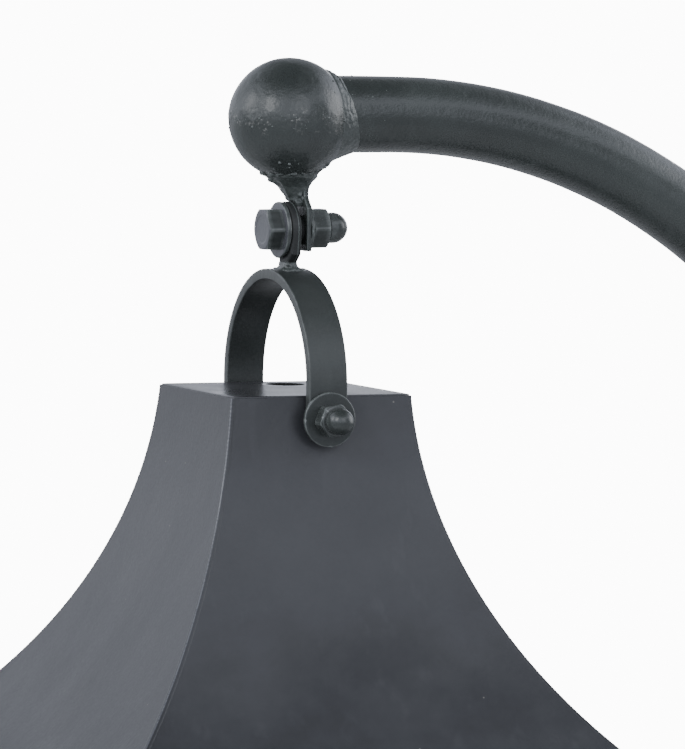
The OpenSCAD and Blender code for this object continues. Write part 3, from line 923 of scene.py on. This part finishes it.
def arm_route():
    """The arm's middle line, from the splice to inside the ball: points and directions."""
    bend_z = ARM_Z - BEND_R
    route = [(Vector((0, 0, SPLICE_Z + (bend_z - SPLICE_Z) * k / 40)), UP) for k in range(40)]
    for k in range(91):
        angle = TURN / 4 * k / 90
        way = Vector((cos(angle), 0, sin(angle)))
        route.append((Vector((-BEND_R, 0, bend_z)) + way * BEND_R, Vector((-way.z, 0, way.x))))
    level = ARM_END + BEND_R
    route += [(Vector((-BEND_R + level * k / 24, 0, ARM_Z)), Vector((-1, 0, 0))) for k in range(1, 25)]
    return route


def arm_shape():
    """Pipe with a quarter bend and a slightly uneven wall."""
    side = Vector((0, 1, 0))
    rings = []
    for point, way in arm_route():
        over = way.cross(side)
        outs = [side * cos(angle) + over * sin(angle) for angle in angles(ARM_STEPS)]
        rings.append([point + out * (PIPE_R + ARM_WALL(point + out * PIPE_R)) for out in outs])
    return skin(rings, "fan")


def ball_height(point):
    """Forging dents all over, and a rough band round the middle where the halves were joined."""
    off = point - BALL
    band = exp(-((off.z + 1.5 * MM) / (6.5 * MM)) ** 2)
    rough = noise.fractal(point / (2.3 * MM) + Vector((9, 4, 2)), 0.8, 2.0, 3)
    patch = max(0.0, noise.noise(point / (9 * MM) + Vector((3, 8, 1))) + 0.25)
    return BALL_DENTS(point) + band * patch * max(0.0, rough) * MM


def on_ball(way, sink):
    """Point on the arm's ball in a direction from its middle, sunk in its skin by some mm."""
    return BALL + way.normalized() * (BALL_R - sink * MM)


def under_ball(tilt, angle):
    """Direction a given tilt away from straight down."""
    return polar(sin(tilt), angle, -cos(tilt))


def weld_spatter_spot(spins):
    """Droplets thrown on the ball round its two welds."""
    at_lug = spins.random() < 0.55
    angle = spins.uniform(0, TURN)
    if at_lug:
        return on_ball(under_ball(radians(spins.uniform(26, 50)), angle), 0.2)
    tilt = radians(spins.uniform(42, 62))
    round_arm = polar(sin(tilt), angle)
    return on_ball(Vector((cos(tilt), round_arm.x, round_arm.y)), 0.2)


def band_spatter_spot(spins):
    """Droplets near the band round the ball's middle."""
    angle = spins.uniform(0, TURN)
    return on_ball(polar(1, angle, spins.gauss(-0.04, 0.10)), 0.3)


def arm_spatter_spot(spins):
    """Droplets on the pipe, thinning out away from its weld."""
    angle = spins.uniform(0, TURN)
    x = BALL.x + 34 * MM + 32 * MM * spins.random() ** 2
    reach = PIPE_R - 0.15 * MM
    return Vector((x, reach * cos(angle), ARM_Z + reach * sin(angle)))


def droplets(seed, count, spot, size):
    """Spatter: small balls at places that spot(random) gives, from a least to a largest radius in mm."""
    spins = random.Random(seed)
    parts = []
    for _ in range(count):
        place = spot(spins)
        radius = size[0] + (size[1] - size[0]) * spins.random() ** 2
        parts.append(sphere_points(place, radius * MM, 2))
    return parts


# ---------- stand: weld between the ball and the arm ----------

WELD_AROUND = 620
WELD_ACROSS = 30
WELD_GRAIN = uneven(3.2, 0.30, 61, 3)
WELD_DRIFT = uneven(13, 1.4, 62, 2)
WELD_WANDER = uneven(9, 0.16, 63, 2)
WELD_RIPPLE = 5.6 * MM
WELD_RIDGE = 0.32 * MM
WELD_GROOVE = 0.85 * MM


def ball_side(radius, y, z):
    """Distance of the ball's skin past its middle, at a radius round the arm's axis."""
    height = ARM_Z - BALL.z + radius * z
    return sqrt(max(1e-6, BALL_R ** 2 - (radius * y) ** 2 - height ** 2))


def arm_weld_curve(y, z, low, shift):
    """Section of the weld as a bent line from the ball over its middle to the pipe, and the corner
    that it fills. Each point is (distance past the ball's middle, radius round the arm's axis)."""
    onto_pipe = 4.8 * MM + 8.0 * MM * low ** 2 + shift
    onto_ball = 3.9 * MM + 3.0 * MM * low ** 2 - 0.6 * shift
    swell = (2.6 - 1.2 * low) * MM
    start = Vector((ball_side(PIPE_R + onto_ball, y, z) - 0.4 * MM, PIPE_R + onto_ball))
    corner = Vector((ball_side(PIPE_R, y, z), PIPE_R))
    end = Vector((corner.x + onto_pipe, PIPE_R - 0.3 * MM))
    middle = (start + end) / 2 * 0.55 + corner * 0.45 + Vector((0.7, 0.7)) * swell
    return start, middle, end, corner


def arm_weld_ring(angle):
    """Ring across the weld at an angle round the arm, 0 being up: ripples and two grooves on top."""
    y, z = sin(angle), cos(angle)
    low = 0.5 - 0.5 * z
    high = max(0.0, min(1.0, 1.3 - 2.4 * low))
    shift = WELD_DRIFT(Vector((0, y, z)) * PIPE_R)
    start, middle, end, corner = arm_weld_curve(y, z, low, shift)
    groove = 0.58 + WELD_WANDER(Vector((1, y, z)) * PIPE_R) / MM
    patchy = max(0.0, noise.noise(Vector((1.5, y * 4, z * 4))) + 0.35)
    ring = []
    for step in range(WELD_ACROSS + 1):
        t = step / WELD_ACROSS
        spot = start * (1 - t) ** 2 + middle * 2 * t * (1 - t) + end * t ** 2
        lap = sin(angle * PIPE_R / WELD_RIPPLE * TURN + 9.0 * (t - 0.4) ** 2 + 5 * shift / MM)
        fine = WELD_GRAIN(Vector((spot.x, spot.y * y, spot.y * z)))
        cut = exp(-((t - groove) / 0.05) ** 2) + 0.9 * exp(-((t - 0.07) / 0.05) ** 2)
        fade = sin(pi * t) ** 0.6
        rise = fade * (WELD_RIDGE * lap * patchy * high + fine) - WELD_GROOVE * cut * high
        spot += Vector((0.45, 0.9)) * rise
        ring.append(Vector((BALL.x + spot.x, spot.y * y, ARM_Z + spot.y * z)))
    inner = PIPE_R - 2.4 * MM
    for x in (end.x - 1 * MM, corner.x - 3 * MM):
        ring.append(Vector((BALL.x + x, inner * y, ARM_Z + inner * z)))
    return ring


def arm_weld_shape():
    """Fillet between the ball and the pipe, laid in two passes: raised and rippled on top, smooth below."""
    return skin([arm_weld_ring(angle) for angle in angles(WELD_AROUND)], "loop")


# ---------- stand: weld between the ball and the upper lug ----------

UPPER_LUG_X = (box_centre("upper_lug").x - HINGE.x) / MM
# Sections as flare() takes them, with x from the upper lug's middle
UPPER_WELD = [
    (14.8, -3.0, 0.4, 2.6, 5.4, 5), (17.7, -3.0, 0.6, 2.8, 6.2, 5), (18.4, -2.6, 1.4, 5.9, 6.0, 5),
    (20.0, -2.7, 1.6, 6.0, 6.2, 5), (21.2, -3.0, 1.6, 6.1, 6.4, 5), (23.9, -4.0, 1.5, 7.7, 7.6, 4),
    (27.0, -4.7, 1.3, 9.3, 9.2, 3), (30.2, -6.4, 0.8, 12.9, 12.0, 2.5), (33.3, -6.9, 0, 16.3, 15.6, 2.2),
    (36.0, -7.8, 0, 17.2, 16.8, 2), (41.0, -7.4, 0, 12.0, 12.0, 2),
]
COLLAR_R = 16.4
FRONT_DROPS = ((-3.2, 22.2, 1.6), (-0.9, 19.8, 1.5), (-2.0, 21.0, 1.0))
LEFT_LEDGE = ((-12.0, 31.4, 1.7), (-10.0, 31.0, 1.8), (-8.0, 30.2, 1.8), (-6.0, 29.2, 1.6))


def collar_lumps(spins):
    """Lumps where the weld meets the ball: a row all round, and a patch spread to the front right."""
    parts = []
    off = Vector((UPPER_LUG_X - 7.4 + (HINGE.x - BALL.x) / MM, 0, -34.5))
    for angle in angles(46):
        angle += spins.uniform(-0.12, 0.12)
        way = polar(COLLAR_R * spins.uniform(0.94, 1.12), angle) + off
        parts.append(sphere_points(on_ball(way, 0.3), spins.uniform(0.9, 2.0) * MM, 2))
    for _ in range(60):
        angle = radians(spins.gauss(-18, 24))
        way = under_ball(radians(spins.uniform(24, 44)), angle)
        parts.append(sphere_points(on_ball(way, 0.6), spins.uniform(0.8, 1.7) * MM, 2))
    return parts


def neck_lumps(spins):
    """Lumps on both sides of the lug's neck, and drops on its front."""
    parts = []
    for k in range(14):
        side = -1 if k % 2 else 1
        y = spins.uniform(-4.2, 7.6)
        z = spins.uniform(18.2, 20.4)
        parts.append(lump(UPPER_LUG_X + side * 2.4, y, z, spins.uniform(0.9, 1.5)))
    return parts + [lump(UPPER_LUG_X + x, -5.3, z, radius) for x, z, radius in FRONT_DROPS]


def left_flank():
    """Ridge that runs up the weld's left side, and the ledge that it ends in."""
    parts = []
    for k in range(30):
        way = k / 29
        parts.append(lump(UPPER_LUG_X - 7.6 - 9.2 * way, -1.0 - 6.0 * way, 20.2 + 11.6 * way, 1.4))
    return parts + [lump(x, -1.0, z, radius) for x, z, radius in LEFT_LEDGE]


def upper_weld_parts():
    """Weld metal drawn out from the upper lug onto the underside of the ball."""
    spins = random.Random(15)
    return [flare(UPPER_WELD, UPPER_LUG_X)] + collar_lumps(spins) + neck_lumps(spins) + left_flank()


def add_arm():
    add_piece("arm_pipe", arm_shape(), "stand", STAND_PAINT, ("arm",))
    ball = add_piece("ball_skin", sphere_points(BALL, BALL_R - 0.05 * MM, 6), "stand", BALL_PAINT, ("ball",))
    displaced(ball, ball_height)
    add_piece("arm_ball_weld", arm_weld_shape(), "stand", WELD_PAINT, ("arm_weld",), 70)
    fused("lug_ball_weld", upper_weld_parts(), 0.5 * MM, "stand", ("upper_lug_weld",),
          uneven(4.5, 0.30, 62, 3))
    drops = droplets(8, 90, weld_spatter_spot, (0.35, 1.1))
    drops += droplets(9, 110, band_spatter_spot, (0.35, 0.85))
    drops += droplets(10, 80, arm_spatter_spot, (0.25, 0.65))
    add_piece("ball_spatter", joined(drops), "stand", WELD_PAINT)


# ---------- stand: upper lug and hinge hardware ----------

BOLT_LEAN = radians(1.2)
BOLT_RISE = 0.6 * MM
HEAD_FLATS = 25.0 * MM
HEAD_HEIGHT = 11.0 * MM
NUT_FLATS = 24.2 * MM
NUT_HEIGHT = 12.0 * MM
SHANK_R = 7.2 * MM
WASHER_BORE = 8.1 * MM
HEAD_WASHER_R = 17.7 * MM
NUT_WASHER_R = 13.5 * MM
SPACER_R = 9.2 * MM
SPACER_LAP = 1.4 * MM


def x_place(x, facing=1):
    """Place on the hinge bolt's axis, looking along +X or -X."""
    return axis_place(Vector((x, HINGE.y, HINGE.z)), (facing, 0, 0))


def leaning(place):
    """The bolt's head and nut sit a little askew, as the holes are loose."""
    raised = HINGE + Vector((0, 0, BOLT_RISE))
    lean = Matrix.Translation(raised) @ Matrix.Rotation(-BOLT_LEAN, 4, "Y") @ Matrix.Translation(-HINGE)
    return lean @ place


def hex_turn(place, angle_up=0.0):
    """Angle in the place's own ring of a direction turned from straight up."""
    up = place.to_3x3().inverted() @ UP
    return atan2(up.y, up.x) + angle_up


def left_face_reflection(piece):
    """Painted reflection: lighter paint, with chips, on the faces that look to the left."""
    repainted(piece, LEFT_FACE_REFLECTION_PAINT, lambda face: face.normal.x < -0.85)


def x_ends(node):
    """Where a node starts and ends along X."""
    low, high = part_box(node)
    return low.x, high.x


def add_upper_lug():
    """The upper lug, whose left side starts where the spacer's lap ends."""
    low, high = x_ends("upper_lug")
    left = low + SPACER_LAP
    thick = (high - left) / MM
    rim = [(0, 0.9), (0.25, 0.3), (0.8, 0), (thick - 0.8, 0), (thick - 0.25, 0.25), (thick, 0.8)]
    place = HINGE_PLACE @ Matrix.Translation((0, 0, left - HINGE.x))
    solid = lug_solid(place, outline_reach(UPPER_LUG), rim)
    lug = add_piece("lug_upper", solid, "stand", STAND_PAINT, ("upper_lug",))
    displaced(lug, uneven(6, 0.12, 51, 2))
    # Painted highlight line along the left edge of the upper lug's rim
    rim_highlights(lug, left, ((-0.1, 0.7),))


def add_hinge_ring(name, node, radius, edge, material, lap=0.0, steps=96):
    """Ring on the hinge bolt in a CAD node's place, with rounded edges in mm."""
    low, high = x_ends(node)
    ring = washer(x_place(low), radius, WASHER_BORE, high - low + lap, edge * MM, steps)
    return add_piece(name, ring, "stand", material, (node,))


def add_hinge_washers():
    # The head washer's left face gets a painted reflection
    left_face_reflection(add_hinge_ring("washer_head", "hinge_head_washer", HEAD_WASHER_R, 0.95, BOLT_PAINT, steps=128))
    # The spacer's near-black paint is painted shade in the gap between the lugs
    add_hinge_ring("spacer_ring", "hinge_spacer", SPACER_R, 0.3, SPACER_SHADE_PAINT, SPACER_LAP)
    add_hinge_ring("washer_nut", "hinge_nut_washer", NUT_WASHER_R, 0.4, FASTENER_PAINT)


def add_hinge_nut():
    place = leaning(x_place(x_ends("hinge_nut_washer")[1] - 0.3 * MM))
    nut = cap_nut(place, NUT_FLATS, NUT_HEIGHT, hex_turn(place), 9.7 * MM, 5.6 * MM, 0.8 * MM)
    add_piece("nut_hinge", nut, "stand", FASTENER_PAINT, ("hinge_nut",))


def add_hinge_bolt():
    """Hex head with a shallow dished face, and the shank through both lugs."""
    start = x_ends("hinge_head_washer")[0]
    end = x_ends("upper_lug")[1] + 8 * MM
    place = leaning(x_place(start + 0.4 * MM, -1))
    head = hexagon_profile(HEAD_FLATS, HEAD_HEIGHT, hex_turn(place))
    for radius, depth in ((9.4, 0), (8.9, 0.05), (8.5, 0.25), (7.8, 0.3)):
        head.append((radius * MM, HEAD_HEIGHT - depth * MM))
    shank = washer(leaning(x_place(start)), SHANK_R, 1 * MM, end - start, 0.3 * MM, 48)
    bolt = joined([turned(place, head, 144), shank])
    # The bolt's left-facing faces get a painted reflection
    left_face_reflection(add_piece("bolt_hinge", bolt, "stand", BOLT_PAINT, ("hinge_bolt",)))


# ---------- cross rod hardware ----------

LEG_WASHER_T = 2.8 * MM
LEG_WASHER_R = 17 * MM
CAP_FLATS = 19 * MM
CAP_HEIGHT = 10 * MM


def add_rod_hardware():
    """A large washer and a cap nut outside each of the strap's legs."""
    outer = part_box("leg_washers")[1].y
    washers, nuts = [], []
    for side in (-1, 1):
        place = axis_place(ROD + Vector((0, side * (outer - LEG_WASHER_T), 0)), (0, side, 0))
        washers.append(washer(place, LEG_WASHER_R, 6.5 * MM, LEG_WASHER_T, 0.7 * MM, 128))
        place = axis_place(ROD + Vector((0, side * outer, 0)), (0, side, 0))
        turn = hex_turn(place, radians(10))
        nuts.append(cap_nut(place, CAP_FLATS, CAP_HEIGHT, turn, 8.2 * MM, 6.4 * MM, 0.4 * MM))
    add_piece("washers_leg", joined(washers), "bell", FASTENER_PAINT, ("leg_washers",))
    add_piece("nuts_cap", joined(nuts), "bell", FASTENER_PAINT, ("cap_nuts",))


# ---------- foot welds and clapper ----------

BEAD_STEP = 0.9 * MM
GUSSET_BEAD_R = 2.6 * MM
STRIKER_BEAD_R = 1.7 * MM
STRIKER_NECK_R = 5.6 * MM


def gusset_beads(turn, side, seed):
    """Beads along the foot and the upright of one side of a gusset."""
    spin = spun(turn)
    y = side * 3.4 * MM
    z = PLATE_TOP + 0.6 * MM
    x = PIPE_R + 0.1 * MM
    runs = (
        ((PIPE_R + 12 * MM, y, z), (PIPE_R + 88 * MM, y, z)),
        ((x, y, PLATE_TOP + 12 * MM), (x, y, PLATE_TOP + 128 * MM)),
    )
    paths = [straight(spin @ Vector(start), spin @ Vector(end), BEAD_STEP) for start, end in runs]
    return [bead(path, GUSSET_BEAD_R, 4, seed + index) for index, path in enumerate(paths)]


def add_foot_welds():
    ring = circle(Vector((0, 0, PLATE_TOP + 2 * MM)), PIPE_R + 2 * MM, 300)
    add_piece("foot_bead", bead(ring, 5.4 * MM, 5, 3, True), "stand", WELD_PAINT, ("base_weld",), 60)
    strips = []
    for quarter in range(4):
        for index, side in enumerate((-1, 1)):
            strips += gusset_beads(45 + 90 * quarter, side, 100 + 4 * quarter + 2 * index)
    add_piece("gusset_beads", joined(strips), "stand", WELD_PAINT, (), 60)


def add_clapper():
    """Clapper ball with a worn band, and the beads at its poles and under the hub."""
    skin_points = sphere_points(CLAPPER, CLAPPER_R - 0.1 * MM, 5)
    ball = add_piece("striker_ball", skin_points, "clapper", CLAPPER_WORN, ("clapper_ball",))
    displaced(ball, uneven(9, 0.14, 71, 3))
    pole = Vector((0, 0, CLAPPER_R - 0.6 * MM))
    spots = (CLAPPER + pole, CLAPPER - pole, ROD - Vector((0, 0, 9.3 * MM)))
    beads = [bead(circle(spot, STRIKER_NECK_R, 48), STRIKER_BEAD_R, 4, 90 + index, True)
             for index, spot in enumerate(spots)]
    add_piece("striker_beads", joined(beads), "clapper", CLAPPER_PAINT, (), 60)


add_bell()
add_hanger()
add_arm()
add_upper_lug()
add_hinge_washers()
add_hinge_nut()
add_hinge_bolt()
add_rod_hardware()
add_foot_welds()
add_clapper()

# ---------- CAD nodes that stay ----------

# Paint, and how far the edges are rounded in mm
KEPT = {
    "base_plate": (STAND_PAINT, 1.2), "gussets": (STAND_PAINT, 0.8), "post": (STAND_PAINT, 0),
    "splice_tube": (STAND_PAINT, 0), "splice_bolts": (FASTENER_PAINT, 0.3),
    "splice_washers": (FASTENER_PAINT, 0.3), "splice_nuts": (FASTENER_PAINT, 0.3),
    "cross_rod": (FASTENER_PAINT, 0.5), "bevel_washers": (FASTENER_PAINT, 0.3),
    "inner_nuts": (FASTENER_PAINT, 0.4), "clapper_hub": (CLAPPER_PAINT, 0.6),
    "clapper_rod": (CLAPPER_PAINT, 0.5), "hub_collars": (FASTENER_PAINT, 0.5),
    "collar_screws": (FASTENER_PAINT, 0.2),
}


def finish_kept(piece, material, edge):
    """Paint on a CAD node, and rounded edges, with the flat faces made whole first."""
    painted(piece, material)
    if edge:
        changed(piece.modifiers.new("weld", "WELD"), merge_threshold=1e-6)
        changed(piece.modifiers.new("flat", "DECIMATE"), decimate_type="DISSOLVE", angle_limit=radians(1))
        bevelled(piece, edge * MM, 3, 40)


for node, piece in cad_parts.items():
    if node in KEPT:
        finish_kept(piece, *KEPT[node])
    else:
        painted(piece, STAND_PAINT)

# ---------- floor, sky and lamps ----------


def add_floor():
    """Pale disc just under the ground plate."""
    profile = ((0.05, -0.030), (3.2, -0.030), (3.2, -0.002), (0.05, -0.002))
    floor = mesh_object("floor", turned(Matrix.Identity(4), profile, 128), floor_material(), 30)


# Brightness of the surround by the sine of its elevation
SKY_STEPS = [(-1.0, 0.50), (-0.20, 0.50), (-0.03, 0.56), (0.02, 1.00), (0.15, 1.70), (0.45, 1.70),
             (0.62, 1.62), (0.74, 0.66), (0.86, 0.08), (1.0, 0.05)]
# Soft windows: direction, cosines off it where the window starts and is full, and brightness
SKY_PATCHES = [
    (camera_side(-0.92, 0.36, 0.10), 0.955, 0.992, 2.8),
    (camera_side(-0.56, 0.44, 0.69), 0.965, 0.994, 5.0),
    (camera_side(0.36, 0.46, 0.80), 0.970, 0.995, 1.2),
    (camera_side(0.92, 0.24, -0.30), 0.90, 0.985, 2.4),
    (camera_side(-0.80, 0.02, -0.60), 0.85, 0.98, 0.15),
    (camera_side(0.20, 0.05, -1.0), 0.975, 0.999, 3.1),
]
# Darker stretches: the same, with the share of the surround's light that each takes away
CURTAINS = [
    (camera_side(0.10, 0.75, -1.0), 0.86, 0.97, 0.70),
    (camera_side(-0.60, 0.50, -0.75), 0.84, 0.96, 0.46),
    (camera_side(0.88, 0.24, 0.42), 0.945, 0.995, 0.80),
]
SKY_TINT = (0.92, 0.965, 1.09, 1)
WINDOW_TINT = (1.0, 1.0, 1.0, 1)
BACKDROP = 12.0


def sky_spot(way, direction, start, full, value):
    """Soft round spot in the sky: the cosines where it starts and where it is full, and its value."""
    dot = add_node("VectorMath", {0: way, 1: direction}, operation="DOT_PRODUCT")
    return add_node("MapRange", {
        "Value": dot.outputs["Value"], "From Min": start, "From Max": full, "To Max": value,
    }, interpolation_type="SMOOTHSTEP").outputs["Result"]


def add_sky():
    """Studio surround: bright near the horizon and dark overhead, with soft windows and dark stretches.
    The camera sees a plain pale backdrop in its place."""
    world = bpy.data.worlds.new("studio")
    bpy.context.scene.world = world
    world.use_nodes = True
    tree = world.node_tree
    way = add_node("TexCoord", {}, tree).outputs["Generated"]
    height = add_node("SeparateXYZ", {"Vector": way}).outputs["Z"]
    ramp = add_node("ValToRGB", {"Fac": remap(height, -1, 1)})
    stops = ramp.color_ramp.elements
    while len(stops) < len(SKY_STEPS):
        stops.new(0.5)
    for stop, (rise, value) in zip(stops, SKY_STEPS):
        stop.position = (rise + 1) / 2
        stop.color = (value, value, value, 1)
    level = add_node("SeparateColor", {"Color": ramp.outputs["Color"]}).outputs[0]
    for curtain in CURTAINS:
        kept = math_value("SUBTRACT", 1.0, sky_spot(way, *curtain))
        level = times(level, kept)
    windows = 0.0
    for patch in SKY_PATCHES:
        windows = plus(sky_spot(way, *patch), windows)
    surround = add_node("Background", {"Color": SKY_TINT, "Strength": level})
    lit = add_node("Background", {"Color": WINDOW_TINT, "Strength": windows})
    both = add_node("AddShader", {0: surround.outputs[0], 1: lit.outputs[0]})
    backdrop = add_node("Background", {"Color": (1, 1, 1, 1), "Strength": BACKDROP}, tree)
    seen = add_node("LightPath", {}, tree).outputs["Is Camera Ray"]
    shown = add_node("MixShader", {0: seen, 1: both.outputs[0], 2: backdrop.outputs[0]})
    feed(tree.nodes["World Output"], {"Surface": shown.outputs[0]})
    tree.nodes.remove(tree.nodes["Background"])


def add_key_lamp(direction, distance):
    """Soft lamp toward the bell's top, which only lights and isn't mirrored in the paint."""
    lamp = changed(bpy.data.lights.new("key", "AREA"), shape="DISK", size=1.2, energy=2)
    rig = new_object("key", lamp)
    rig.matrix_world = axis_place(Vector((BELL_X, 0, BELL_TOP)) + direction * distance, direction)
    rig.visible_glossy = False


add_floor()
add_sky()
add_key_lamp(camera_side(0.45, 0.85, 0.35), 3.0)
